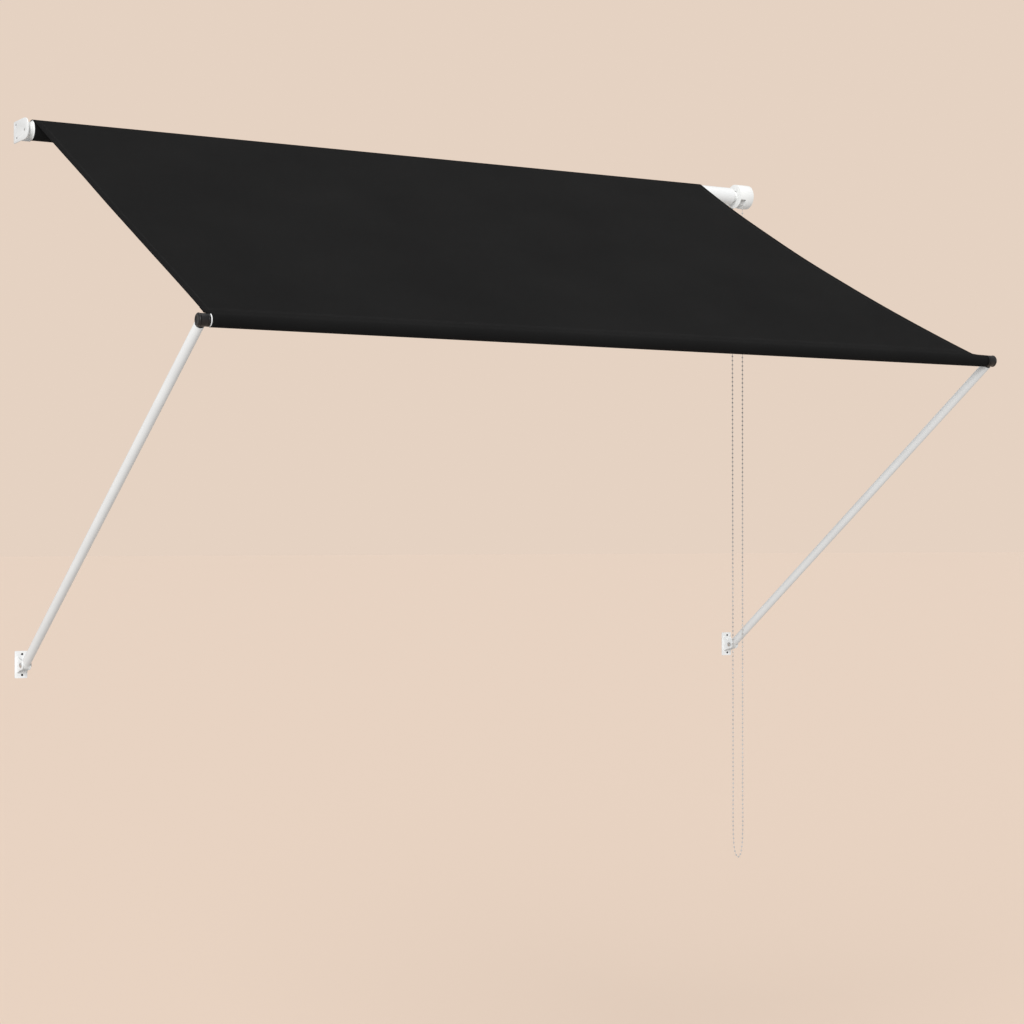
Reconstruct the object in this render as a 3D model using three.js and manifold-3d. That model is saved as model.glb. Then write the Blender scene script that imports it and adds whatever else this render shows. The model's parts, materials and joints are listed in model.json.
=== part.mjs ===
// Drop-arm canvas awning: a roller on two wall brackets, a canvas sheet, a front bar and two
// swinging arms on lower wall brackets, wound by a bead chain.
// Millimetres. X runs along the wall, -Y points away from the wall, +Z is up.
// The origin is on the wall, at the centre of the upper left bracket's back face.
import * as THREE from 'three';
import { mergeVertices } from 'three/addons/utils/BufferGeometryUtils.js';
import Module from 'manifold-3d';

const wasm = await Module();
wasm.setup();

// ---- driving dimensions ----
const SPAN = 2430;              // between the left and right arm planes
const GAP = 0.3;                // between pieces that touch
const ROLLER_OUT = 90;          // roller axis out of the wall
const ROLLER_R = 27;            // roller tube
const ROLLER_WALL = 1.5;
const WRAP_R = 28.5;            // roller with its last turns of canvas
const CANVAS = 0.8;             // canvas thickness
const CANVAS_LEFT = -3;         // canvas ends on the roller
const CANVAS_RIGHT = 2256;
const CORNER_LEFT = 5;          // canvas corners where it meets the front bar's pocket
const CORNER_RIGHT = 2364;
const POCKET_INSET = 20;        // pocket ends, in from each arm plane
const NECK_LEFT = 9;            // how far each side edge is pulled in half way down
const NECK_RIGHT = 47;
const SAG = 10;                 // canvas below its chord, half way down
const BAR_OUT = 1278;           // front bar axis
const BAR_DROP = 622;
const BAR_R = 16;
const BAR_WALL = 1.5;
const BAR_INSET = 17.5;         // front bar tube ends, in from each arm plane
const PIVOT_OUT = 37;           // lower pivot of the arms
const PIVOT_DROP = 1482;
const ARM_R = 12.5;
const ARM_WALL = 1.3;
const PLATE = 3;                // thickness of the bracket sheet
const SIDE_PLATE = 21;          // inner face of an upper side plate, outside the arm plane
const PIN_R = 4;                // arm pins
const CHAIN_R = 3;              // bead chain
const CHAIN_INSET = 18;         // chain plane, in from the right arm plane
const CHAIN_TURN_R = 28;        // chain on its wheel
const ROUND = 32;               // facets on a full turn

const WHITE_PAINT = { color: 0xe9e7e2, roughness: 0.42, metalness: 0.1 };
const WHITE_PLASTIC = { color: 0xeceae4, roughness: 0.5, metalness: 0 };
const BLACK_PLASTIC = { color: 0x202022, roughness: 0.45, metalness: 0 };
const CANVAS_CLOTH = { color: 0x252526, roughness: 0.9, metalness: 0 };
const ZINC = { color: 0xb9bcbf, roughness: 0.35, metalness: 0.9 };

// ---- solids and cuts ----
function solid(geometry) {
  const bare = geometry.index ? geometry.toNonIndexed() : geometry.clone();
  bare.deleteAttribute('normal');
  bare.deleteAttribute('uv');
  const merged = mergeVertices(bare, 1e-4);
  return new wasm.Manifold(new wasm.Mesh({
    numProp: 3,
    vertProperties: new Float32Array(merged.attributes.position.array),
    triVerts: new Uint32Array(merged.index.array),
  }));
}

function geometryOf(manifold) {
  const { vertProperties, triVerts } = manifold.getMesh();
  const geometry = new THREE.BufferGeometry();
  geometry.setAttribute('position', new THREE.BufferAttribute(new Float32Array(vertProperties), 3));
  geometry.setIndex(new THREE.BufferAttribute(new Uint32Array(triVerts), 1));
  geometry.computeVertexNormals();
  return geometry;
}

function join(...geometries) {
  return geometryOf(geometries.map(solid).reduce((whole, piece) => whole.add(piece)));
}

function cut(geometry, ...tools) {
  return geometryOf(tools.map(solid).reduce((whole, tool) => whole.subtract(tool), solid(geometry)));
}

// ---- shapes ----
// A turned piece on the X axis, from [x, radius] points that close on themselves or on the axis.
function turned(points, facets = ROUND) {
  const outline = points.map(([x, r]) => new THREE.Vector2(r, x));
  if (THREE.ShapeUtils.area(outline) < 0) outline.reverse();
  if (points[0][1] > 0) outline.push(outline[0].clone());
  return new THREE.LatheGeometry(outline, facets).rotateZ(-Math.PI / 2);
}

function rod(x0, x1, r, facets = ROUND) {
  return turned([[x0, 0], [x0, r], [x1, r], [x1, 0]], facets);
}

function pipe(x0, x1, inner, outer, facets = ROUND) {
  return turned([[x0, inner], [x1, inner], [x1, outer], [x0, outer]], facets);
}

function box(x0, x1, y0, y1, z0, z1) {
  return new THREE.BoxGeometry(x1 - x0, y1 - y0, z1 - z0)
    .translate((x0 + x1) / 2, (y0 + y1) / 2, (z0 + z1) / 2);
}

// A sheet drawn as (out from the wall, height) and extruded from x1 back to x1 - thickness.
function sidePlate(shape, thickness, x1) {
  const turn = new THREE.Matrix4().makeBasis(
    new THREE.Vector3(0, -1, 0), new THREE.Vector3(0, 0, 1), new THREE.Vector3(-1, 0, 0));
  return new THREE.ExtrudeGeometry(shape, { depth: thickness, bevelEnabled: false, curveSegments: 8 })
    .applyMatrix4(turn).translate(x1, 0, 0);
}

// A sheet drawn as (along the wall, height), lying on the wall.
function wallPlate(shape, thickness) {
  return new THREE.ExtrudeGeometry(shape, { depth: thickness, bevelEnabled: false, curveSegments: 8 })
    .rotateX(Math.PI / 2);
}

function roundedRect(x0, x1, z0, z1, r) {
  const shape = new THREE.Shape();
  shape.moveTo(x0 + r, z0);
  shape.lineTo(x1 - r, z0);
  shape.absarc(x1 - r, z0 + r, r, -Math.PI / 2, 0);
  shape.lineTo(x1, z1 - r);
  shape.absarc(x1 - r, z1 - r, r, 0, Math.PI / 2);
  shape.lineTo(x0 + r, z1);
  shape.absarc(x0 + r, z1 - r, r, Math.PI / 2, Math.PI);
  shape.lineTo(x0, z0 + r);
  shape.absarc(x0 + r, z0 + r, r, Math.PI, 1.5 * Math.PI);
  return shape;
}

function hole(shape, x, z, r) {
  const path = new THREE.Path();
  path.absarc(x, z, r, 0, 2 * Math.PI, true);
  shape.holes.push(path);
}

function mesh(name, geometry, finish) {
  const piece = new THREE.Mesh(geometry, new THREE.MeshStandardMaterial(finish));
  piece.name = name;
  return piece;
}

const awning = new THREE.Group();

// ---- upper brackets: a deep side plate folded from a wall flange ----
const SIDE_TOP = 34;
const SIDE_BOTTOM = -26;
const SIDE_DEPTH = 120;
const FLANGE_EDGE = 24;         // wall flange, each side of the arm plane
const RIVET_R = 4;

function sideOutline() {
  const shape = new THREE.Shape();
  shape.moveTo(0, SIDE_BOTTOM);
  shape.lineTo(SIDE_DEPTH - 28, SIDE_BOTTOM);
  shape.quadraticCurveTo(SIDE_DEPTH, SIDE_BOTTOM, SIDE_DEPTH, 0);
  shape.quadraticCurveTo(SIDE_DEPTH, SIDE_TOP, SIDE_DEPTH - 36, SIDE_TOP);
  shape.lineTo(0, SIDE_TOP);
  hole(shape, 18, 24, 3.3);
  hole(shape, 26, -14, 3.3);
  return shape;
}

function upperBracket(side) {
  const shape = sideOutline();
  if (side < 0) {
    hole(shape, ROLLER_OUT, 0, RIVET_R + GAP);
  } else {
    for (const z of DRIVE_SCREWS) hole(shape, ROLLER_OUT, z, DRIVE_SCREW_R + GAP);
  }
  const outer = side < 0 ? -SIDE_PLATE : SPAN + SIDE_PLATE + PLATE;
  const centre = side < 0 ? 0 : SPAN;
  const flange = roundedRect(centre - FLANGE_EDGE, centre + FLANGE_EDGE, -16, SIDE_TOP, 2);
  for (const z of [-4, 22]) hole(flange, centre - side * 6, z, 3.3);
  return join(sidePlate(shape, PLATE, outer), wallPlate(flange, PLATE));
}

// ---- drive unit at the right: housing on the side plate, with a stub for the chain wheel ----
const CHAIN_X = SPAN - CHAIN_INSET;
const DRIVE_SCREWS = [-16, 16];
const DRIVE_SCREW_R = 2.5;
const HOUSING_R = 39;
const HOUSING_END = CHAIN_X - 13;
const HOUSING_ROOT = SPAN + SIDE_PLATE - GAP;
const HOUSING_SHELL = 2.5;
const STUB_R = 10;
const STUB_END = CHAIN_X - 34;
const WHEEL_HUB_R = 17;
const DRIVE_PLUG_END = CHAIN_X - 24;

function driveHousing() {
  const cavity0 = HOUSING_END + HOUSING_SHELL;
  const cavity1 = CHAIN_X + 10;
  const shell = cut(
    rod(HOUSING_END, HOUSING_ROOT, HOUSING_R),
    rod(cavity0, cavity1, HOUSING_R - HOUSING_SHELL),
    rod(HOUSING_END - 1, cavity1, WHEEL_HUB_R + 2),
    box(cavity0, cavity1, -HOUSING_R, HOUSING_R, -HOUSING_R - 1, -14),
    ...DRIVE_SCREWS.map((z) => rod(HOUSING_ROOT - 14, HOUSING_ROOT + 1, DRIVE_SCREW_R + GAP, 12)
      .translate(0, 0, z)),
  );
  return join(shell, rod(STUB_END, cavity1 + 4, STUB_R));
}

function chainWheel() {
  const groove = CHAIN_TURN_R - CHAIN_R - GAP;
  const hubEnd = DRIVE_PLUG_END + GAP;
  return turned([
    [hubEnd, STUB_R + GAP], [CHAIN_X + 8, STUB_R + GAP], [CHAIN_X + 8, CHAIN_TURN_R + 3],
    [CHAIN_X + 6, CHAIN_TURN_R + 3], [CHAIN_X + 3.4, groove], [CHAIN_X - 3.4, groove],
    [CHAIN_X - 6, CHAIN_TURN_R + 3], [CHAIN_X - 8, CHAIN_TURN_R + 3],
    [CHAIN_X - 8, WHEEL_HUB_R], [hubEnd, WHEEL_HUB_R],
  ]);
}

// ---- roller ----
const TUBE_END = DRIVE_PLUG_END - 6;
const PLUG_R = ROLLER_R - ROLLER_WALL - GAP;
const COLLAR_R = 23;
const IDLE_PIN_R = 5;

const roller = new THREE.Group();
roller.position.set(0, -ROLLER_OUT, 0);
roller.add(
  mesh('roller_tube', pipe(CANVAS_LEFT, TUBE_END, ROLLER_R - ROLLER_WALL, ROLLER_R), WHITE_PAINT),
  mesh('wound_canvas', pipe(CANVAS_LEFT, CANVAS_RIGHT, ROLLER_R + GAP, WRAP_R), CANVAS_CLOTH),
  mesh('roller_idle_plug', turned([
    [2 - SIDE_PLATE + 0.8, IDLE_PIN_R + GAP], [40, IDLE_PIN_R + GAP], [40, PLUG_R],
    [CANVAS_LEFT + GAP, PLUG_R], [CANVAS_LEFT + GAP, COLLAR_R], [2 - SIDE_PLATE + 0.8, COLLAR_R],
  ]), WHITE_PLASTIC),
  mesh('idle_pin', turned([
    [-SIDE_PLATE - PLATE, 0], [-SIDE_PLATE - PLATE, RIVET_R], [-SIDE_PLATE + GAP, RIVET_R],
    [-SIDE_PLATE + GAP, 9], [2 - SIDE_PLATE + GAP, 9], [2 - SIDE_PLATE + GAP, IDLE_PIN_R],
    [32, IDLE_PIN_R], [32, 0],
  ]), ZINC),
  mesh('roller_drive_plug', turned([
    [TUBE_END - 40, STUB_R + GAP], [DRIVE_PLUG_END, STUB_R + GAP], [DRIVE_PLUG_END, COLLAR_R],
    [TUBE_END, COLLAR_R], [TUBE_END, PLUG_R], [TUBE_END - 40, PLUG_R],
  ]), WHITE_PLASTIC),
  mesh('chain_wheel', chainWheel(), WHITE_PLASTIC),
  mesh('drive_housing', driveHousing(), WHITE_PLASTIC),
);
DRIVE_SCREWS.forEach((z, index) => {
  const face = SPAN + SIDE_PLATE + PLATE + GAP;
  const screw = mesh(`drive_screw_${index + 1}`, turned([
    [face - PLATE - 12, 0], [face - PLATE - 12, DRIVE_SCREW_R], [face, DRIVE_SCREW_R],
    [face, 4.5], [face + 1.6, 4.2], [face + 2.6, 2.4], [face + 2.6, 0],
  ], 16), ZINC);
  screw.position.z = z;
  roller.add(screw);
});
awning.add(roller);
awning.add(mesh('upper_left_bracket', upperBracket(-1), WHITE_PAINT));
awning.add(mesh('upper_right_bracket', upperBracket(1), WHITE_PAINT));

// ---- lower brackets: a wall plate with two ears, and the pin across them ----
const PLATE_HALF_W = 18;
const PLATE_HALF_H = 38;
const EAR_INNER = 9.5;
const EAR_OUTER = EAR_INNER + PLATE;
const EAR_R = 14;

function lowerBracket() {
  const plate = roundedRect(-PLATE_HALF_W, PLATE_HALF_W, -PLATE_HALF_H, PLATE_HALF_H, 3);
  for (const z of [-29, 29]) hole(plate, 3, z, 3.3);
  const ear = new THREE.Shape();
  ear.moveTo(0, -24);
  ear.lineTo(PIVOT_OUT - 4, -13.4);
  ear.absarc(PIVOT_OUT, 0, EAR_R, -0.6 * Math.PI, 0.6 * Math.PI);
  ear.lineTo(0, 24);
  hole(ear, PIVOT_OUT, 0, PIN_R + GAP);
  return join(wallPlate(plate, PLATE), sidePlate(ear, PLATE, EAR_OUTER), sidePlate(ear, PLATE, -EAR_INNER));
}

function armPin() {
  const head = EAR_OUTER + GAP;
  return turned([
    [-head - 3.5, 0], [-head - 3.5, 5.5], [-head - 2.6, 7], [-head, 7], [-head, PIN_R],
    [head + 5, PIN_R], [head + 5, 0],
  ], 24);
}

function pinNut() {
  const face = EAR_OUTER + GAP;
  return cut(rod(face, face + 4, 7, 6), rod(face - 1, face + 5, PIN_R + GAP, 24));
}

// ---- arms: along local +Z from the lower pivot to the front bar ----
const ARM_LENGTH = Math.hypot(BAR_OUT - PIVOT_OUT, PIVOT_DROP - BAR_DROP);
const ARM_LEAN = Math.atan2(BAR_OUT - PIVOT_OUT, PIVOT_DROP - BAR_DROP);
const ARM_BORE = ARM_R - ARM_WALL - GAP;
const FOOT_SHOULDER = 20;       // arm tube starts this far from the lower pivot
const EYELET_SHOULDER = 17.2;   // and ends this far from the front bar axis
const EYELET_R = 15.8;
const SPIGOT_R = 7;
const EYELET_OUT = 6;           // eyelet width outside and inside the arm plane
const EYELET_IN = 11.5;

function along(geometry) {      // turned on X, stood up on local Z
  return geometry.rotateY(-Math.PI / 2);
}

function armFoot() {
  const flat = EAR_INNER - GAP;
  const eye = rod(-flat, flat, 11.5);
  const plug = cut(             // flat between the ears, round inside the tube
    along(rod(0, FOOT_SHOULDER + 40, ARM_BORE, 24)),
    box(flat, 20, -20, 20, -20, FOOT_SHOULDER - 2),
    box(-20, -flat, -20, 20, -20, FOOT_SHOULDER - 2),
  );
  return cut(join(eye, plug), rod(-20, 20, PIN_R + GAP, 24));
}

function armEyelet(inward) {
  const x0 = inward > 0 ? -EYELET_OUT : -EYELET_IN;
  const x1 = inward > 0 ? EYELET_IN : EYELET_OUT;
  const neck = cut(             // flat beside the knob and the bar's end, round inside the tube
    along(rod(-EYELET_SHOULDER - 42, 0, ARM_BORE, 24)),
    box(x1, 20, -20, 20, -EYELET_SHOULDER, 2),
    box(-20, x0, -20, 20, -EYELET_SHOULDER, 2),
  );
  return cut(join(rod(x0, x1, EYELET_R), neck), rod(-20, 20, SPIGOT_R + GAP, 24))
    .translate(0, 0, ARM_LENGTH);
}

function arm(side, inward) {
  const tube = along(pipe(FOOT_SHOULDER, ARM_LENGTH - EYELET_SHOULDER, ARM_R - ARM_WALL, ARM_R, 24));
  const group = new THREE.Group();
  group.position.set(inward > 0 ? 0 : SPAN, -PIVOT_OUT, -PIVOT_DROP);
  group.rotation.x = ARM_LEAN;
  group.add(
    mesh(`${side}_arm_tube`, tube, WHITE_PAINT),
    mesh(`${side}_arm_foot`, armFoot(), WHITE_PLASTIC),
    mesh(`${side}_arm_eyelet`, armEyelet(inward), BLACK_PLASTIC),
  );
  return group;
}

// ---- front bar ends: a plug with a spigot through the eyelet, and a knob ----
const BAR_BORE = BAR_R - BAR_WALL - GAP;
const STEM_R = 4;
const KNOB_R = 16.5;

function barPlug() {            // X points inward, from the arm plane
  const flange = EYELET_IN + GAP;
  return turned([
    [-EYELET_OUT + 1, STEM_R + GAP], [30, STEM_R + GAP], [30, 9], [58, 9], [58, BAR_BORE],
    [BAR_INSET - GAP, BAR_BORE], [BAR_INSET - GAP, BAR_R], [flange, BAR_R],
    [flange, SPIGOT_R], [-EYELET_OUT + 1, SPIGOT_R],
  ]);
}

function knob() {
  const face = -EYELET_OUT - GAP;
  return turned([
    [face - 6.5, 0], [face - 6.5, KNOB_R - 4], [face - 5, KNOB_R - 1.2], [face - 3.4, KNOB_R],
    [face - 1, KNOB_R], [face, KNOB_R - 1.4], [face, STEM_R], [28, STEM_R], [28, 0],
  ]);
}

for (const [side, inward] of [['left', 1], ['right', -1]]) {
  const plane = inward > 0 ? 0 : SPAN;
  const half = inward > 0 ? 0 : Math.PI;
  const bracket = mesh(`lower_${side}_bracket`, lowerBracket(), WHITE_PAINT);
  bracket.position.set(plane, 0, -PIVOT_DROP);
  const pin = mesh(`${side}_arm_pin`, armPin(), ZINC);
  const nut = mesh(`${side}_arm_nut`, pinNut(), ZINC);
  for (const piece of [pin, nut]) {
    piece.position.set(plane, -PIVOT_OUT, -PIVOT_DROP);
    piece.rotation.z = half;
  }
  const plug = mesh(`${side}_bar_plug`, barPlug(), BLACK_PLASTIC);
  const grip = mesh(`${side}_knob`, knob(), BLACK_PLASTIC);
  for (const piece of [plug, grip]) {
    piece.position.set(plane, -BAR_OUT, -BAR_DROP);
    piece.rotation.z = half;
  }
  awning.add(bracket, pin, nut, plug, grip, arm(side, inward));
}

const frontBar = mesh('front_bar', pipe(BAR_INSET, SPAN - BAR_INSET, BAR_R - BAR_WALL, BAR_R), WHITE_PAINT);
frontBar.position.set(0, -BAR_OUT, -BAR_DROP);
awning.add(frontBar);

// ---- canvas: over the roller, down to the front bar, round it in a pocket ----
const POCKET_R = BAR_R + GAP + CANVAS / 2;
const LEAVE_R = WRAP_R + GAP + CANVAS / 2;
const HEM = 34;                 // the pocket's sewn flap under the sheet

// Middle line of the canvas as (out, height), with the share of the way down at each point.
function canvasLine() {
  const roll = new THREE.Vector2(ROLLER_OUT, 0);
  const bar = new THREE.Vector2(BAR_OUT, -BAR_DROP);
  const reach = bar.clone().sub(roll);
  const tilt = Math.asin((LEAVE_R - POCKET_R) / reach.length());
  const up = new THREE.Vector2(-reach.y, reach.x).normalize().rotateAround(new THREE.Vector2(), -tilt);
  const top = up.angle();
  const line = [];
  const arc = (centre, r, from, to, steps, share) => {
    for (let i = 0; i <= steps; i++) {
      const a = from + ((to - from) * i) / steps;
      line.push([centre.x + r * Math.cos(a), centre.y + r * Math.sin(a), share]);
    }
  };
  arc(roll, LEAVE_R, top + 1.2, top + 0.1, 5, 0);
  const start = roll.clone().addScaledVector(up, LEAVE_R);
  const end = bar.clone().addScaledVector(up, POCKET_R);
  const RUN_STEPS = 14;
  const LAST_STEP = 0.997;
  for (let i = 0; i <= RUN_STEPS; i++) {
    const t = (LAST_STEP * i) / RUN_STEPS;
    const droop = 4 * SAG * t * (1 - t);
    line.push([start.x + (end.x - start.x) * t, start.y + (end.y - start.y) * t - droop, t]);
  }
  arc(bar, POCKET_R, top, top - 5.35, 18, 1);
  const back = start.clone().sub(end).normalize();
  const flap = end.clone().addScaledVector(up, -CANVAS - 2 * GAP);
  for (const t of [0.45, 1]) {
    const inward = 6 + HEM * t;
    const drop = 4 * SAG * (t * HEM / reach.length());
    line.push([flap.x + back.x * inward, flap.y + back.y * inward - drop, 1 - inward / reach.length()]);
  }
  return line;
}

function canvasSheet() {
  const line = canvasLine();
  const rows = line.map(([out, height, share], i) => {
    const before = line[Math.max(i - 1, 0)];
    const after = line[Math.min(i + 1, line.length - 1)];
    const normal = new THREE.Vector2(before[1] - after[1], after[0] - before[0]).normalize();
    const pull = 4 * share * (1 - share);
    const onBar = share === 1;
    const left = onBar ? POCKET_INSET
      : CANVAS_LEFT + (CORNER_LEFT - CANVAS_LEFT) * share + NECK_LEFT * pull;
    const right = onBar ? SPAN - POCKET_INSET
      : CANVAS_RIGHT + (CORNER_RIGHT - CANVAS_RIGHT) * share - NECK_RIGHT * pull;
    const upper = [out + (normal.x * CANVAS) / 2, height + (normal.y * CANVAS) / 2];
    const under = [out - (normal.x * CANVAS) / 2, height - (normal.y * CANVAS) / 2];
    return [[left, ...upper], [right, ...upper], [right, ...under], [left, ...under]];
  });
  const corners = rows.flat().flatMap(([x, out, height]) => [x, -out, height]);
  const faces = [0, 1, 2, 0, 2, 3];
  for (let row = 0; row + 1 < rows.length; row++) {
    for (let side = 0; side < 4; side++) {
      const a = 4 * row + side;
      const b = 4 * row + ((side + 1) % 4);
      faces.push(a, b + 4, b, a, a + 4, b + 4);
    }
  }
  const last = 4 * (rows.length - 1);
  faces.push(last, last + 2, last + 1, last, last + 3, last + 2);
  const geometry = new THREE.BufferGeometry();
  geometry.setAttribute('position', new THREE.Float32BufferAttribute(corners, 3));
  geometry.setIndex(faces);
  geometry.computeVertexNormals();
  return geometry;
}
awning.add(mesh('canopy', canvasSheet(), CANVAS_CLOTH));

// ---- bead chain: over the wheel inside the housing, and hanging free below it ----
const CHAIN_START = -16;        // where the free chain starts, below the roller axis

function chainTube(points, steps) {
  const section = new THREE.Shape();
  section.absarc(0, 0, CHAIN_R, 0, 2 * Math.PI);
  const path = new THREE.CatmullRomCurve3(points.map((p) => new THREE.Vector3(...p)));
  return new THREE.ExtrudeGeometry(section, { steps, extrudePath: path, curveSegments: 4 });
}

function overWheel() {
  const points = [];
  for (let i = -1; i <= 13; i++) {
    const a = (Math.PI * i) / 12;
    const y = -ROLLER_OUT - CHAIN_TURN_R * Math.cos(Math.min(Math.max(a, 0), Math.PI));
    const z = i < 0 || i > 12 ? CHAIN_START + GAP : CHAIN_TURN_R * Math.sin(a);
    points.push([CHAIN_X, y, z]);
  }
  return chainTube(points, 16);
}

// The free loop as (side to side in wheel radii, height): down, round the bottom and up again.
const CHAIN_ROUTE = [
  [-1, -16], [-1, -120], [-0.99, -500], [-0.97, -1000], [-0.95, -1500], [-0.93, -1950],
  [-0.9, -2110], [-0.76, -2146], [-0.45, -2171], [0, -2180], [0.45, -2171], [0.76, -2146],
  [0.9, -2110], [0.93, -1950], [0.95, -1500], [0.97, -1000], [0.99, -500], [1, -120], [1, -16],
];
const freeLoop = CHAIN_ROUTE.map(([share, z]) => [CHAIN_X, -ROLLER_OUT + share * CHAIN_TURN_R, z]);
awning.add(mesh('chain_on_wheel', overWheel(), WHITE_PLASTIC));
awning.add(mesh('bead_chain', chainTube(freeLoop, 64), WHITE_PLASTIC));

export default awning;
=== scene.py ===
import json
from math import asin, cos, pi, radians, sin

import bmesh
import bpy
from mathutils import Matrix, Vector, noise


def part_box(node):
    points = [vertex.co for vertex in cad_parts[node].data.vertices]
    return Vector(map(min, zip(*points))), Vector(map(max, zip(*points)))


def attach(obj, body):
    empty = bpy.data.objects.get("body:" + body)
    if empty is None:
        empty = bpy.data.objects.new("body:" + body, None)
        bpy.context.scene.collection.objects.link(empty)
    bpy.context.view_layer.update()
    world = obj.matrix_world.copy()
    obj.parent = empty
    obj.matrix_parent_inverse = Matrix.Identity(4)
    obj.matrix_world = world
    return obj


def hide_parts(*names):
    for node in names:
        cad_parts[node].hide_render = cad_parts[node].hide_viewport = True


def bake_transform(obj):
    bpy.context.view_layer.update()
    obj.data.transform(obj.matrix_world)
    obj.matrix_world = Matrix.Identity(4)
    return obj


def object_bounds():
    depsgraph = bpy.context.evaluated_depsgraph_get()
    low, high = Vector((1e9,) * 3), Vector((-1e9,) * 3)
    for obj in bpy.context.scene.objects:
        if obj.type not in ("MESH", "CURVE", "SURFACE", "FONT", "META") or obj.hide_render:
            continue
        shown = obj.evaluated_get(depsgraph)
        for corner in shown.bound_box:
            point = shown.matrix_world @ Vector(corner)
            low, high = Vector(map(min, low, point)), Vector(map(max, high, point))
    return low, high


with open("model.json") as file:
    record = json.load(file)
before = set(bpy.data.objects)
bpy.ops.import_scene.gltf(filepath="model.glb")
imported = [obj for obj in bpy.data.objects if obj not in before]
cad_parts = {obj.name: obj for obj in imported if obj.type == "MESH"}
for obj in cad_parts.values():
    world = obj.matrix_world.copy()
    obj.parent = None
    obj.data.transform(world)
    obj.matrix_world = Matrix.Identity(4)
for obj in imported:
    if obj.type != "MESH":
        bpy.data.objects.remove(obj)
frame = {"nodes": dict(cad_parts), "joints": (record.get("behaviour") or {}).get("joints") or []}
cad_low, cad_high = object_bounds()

MM = 0.001

# ---- places taken from the frame ----
joints = {joint["name"]: joint for joint in frame["joints"]}
PIVOT = Vector(joints["arm_fold"]["pos_m"])          # left arm's lower pin
BAR = Vector(joints["bar_turn"]["pos_m"])            # front bar axis, in the left arm's plane
ROLLER = Vector(joints["roller_turn"]["pos_m"])      # roller axis
SPAN = joints["right_arm_fold"]["pos_m"][0]          # between the arm planes
ALONG_ARM = (BAR - PIVOT).normalized()
ARM_LENGTH = (BAR - PIVOT).length
ENDS = {"left": (0.0, 1), "right": (SPAN, -1)}       # arm plane, and which way is inward

# ---- the same sections as the frame's ----
GAP = 0.3 * MM
WRAP_R = 28.5 * MM            # roller with its last turns of canvas
TUBE_R = 27 * MM              # roller tube
BAR_R = 16 * MM               # front bar
TUBE_WALL = 1.5 * MM          # wall of the roller tube and the front bar
ARM_R = 12.5 * MM
ARM_BORE = 11.2 * MM
FOOT_SHOULDER = 20 * MM       # arm tube starts this far from the lower pin
EYELET_SHOULDER = 17.2 * MM   # and ends this far from the front bar's axis
FRAME_CANVAS = 0.8 * MM       # canvas of the frame
CANVAS = 0.6 * MM             # canvas of the look


# ---- camera ----
CAMERA_PLACE = (-2.0855, -6.1843, -1.1262)
CAMERA_TURN = (pi / 2 + 0.01105, 0, -0.5372)
CAMERA_LENS = 80.2
FAR_LIMIT = 500


def add_camera():
    data = bpy.data.cameras.new("view")
    data.lens = CAMERA_LENS
    data.clip_end = FAR_LIMIT
    camera = bpy.data.objects.new("view", data)
    camera.location = CAMERA_PLACE
    camera.rotation_euler = CAMERA_TURN
    bpy.context.scene.collection.objects.link(camera)
    bpy.context.scene.camera = camera


add_camera()

# ---- node groups ----
FLOAT = "NodeSocketFloat"
VECTOR = "NodeSocketVector"


def node_group(name, inputs, outputs):
    group = bpy.data.node_groups.new(name, "ShaderNodeTree")
    for label, kind, value in inputs:
        socket = group.interface.new_socket(label, in_out="INPUT", socket_type=kind)
        if value is not None:
            socket.default_value = value
    for label, kind in outputs:
        group.interface.new_socket(label, in_out="OUTPUT", socket_type=kind)
    return group, group.nodes.new("NodeGroupInput"), group.nodes.new("NodeGroupOutput")


def math_node(tree, operation, a, b=None, c=None):
    node = tree.nodes.new("ShaderNodeMath")
    node.operation = operation
    for socket, value in zip(node.inputs, (a, b, c)):
        if value is None:
            continue
        if isinstance(value, (int, float)):
            socket.default_value = value
        else:
            tree.links.new(value, socket)
    return node.outputs[0]


def build_mottle():
    """Slow noise between Low and High."""
    group, inlet, outlet = node_group(
        "mottle", [("Vector", VECTOR, None), ("Scale", FLOAT, 5.0), ("Low", FLOAT, 0.0),
                   ("High", FLOAT, 1.0)], [("Value", FLOAT)])
    cloud = group.nodes.new("ShaderNodeTexNoise")
    cloud.inputs["Detail"].default_value = 4
    spread = group.nodes.new("ShaderNodeMapRange")
    spread.inputs["From Min"].default_value = 0.3
    spread.inputs["From Max"].default_value = 0.7
    link = group.links.new
    link(inlet.outputs["Vector"], cloud.inputs["Vector"])
    link(inlet.outputs["Scale"], cloud.inputs["Scale"])
    link(cloud.outputs["Fac"], spread.inputs["Value"])
    link(inlet.outputs["Low"], spread.inputs["To Min"])
    link(inlet.outputs["High"], spread.inputs["To Max"])
    link(spread.outputs["Result"], outlet.inputs["Value"])
    return group


def build_skin():
    """Fine pebbled relief, as on powder coat or moulded plastic."""
    group, inlet, outlet = node_group(
        "skin", [("Vector", VECTOR, None), ("Scale", FLOAT, 900.0), ("Depth", FLOAT, 0.00002)],
        [("Normal", VECTOR)])
    pebbles = group.nodes.new("ShaderNodeTexNoise")
    pebbles.inputs["Detail"].default_value = 2
    bump = group.nodes.new("ShaderNodeBump")
    link = group.links.new
    link(inlet.outputs["Vector"], pebbles.inputs["Vector"])
    link(inlet.outputs["Scale"], pebbles.inputs["Scale"])
    link(pebbles.outputs["Fac"], bump.inputs["Height"])
    link(inlet.outputs["Depth"], bump.inputs["Distance"])
    link(bump.outputs["Normal"], outlet.inputs["Normal"])
    return group


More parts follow.
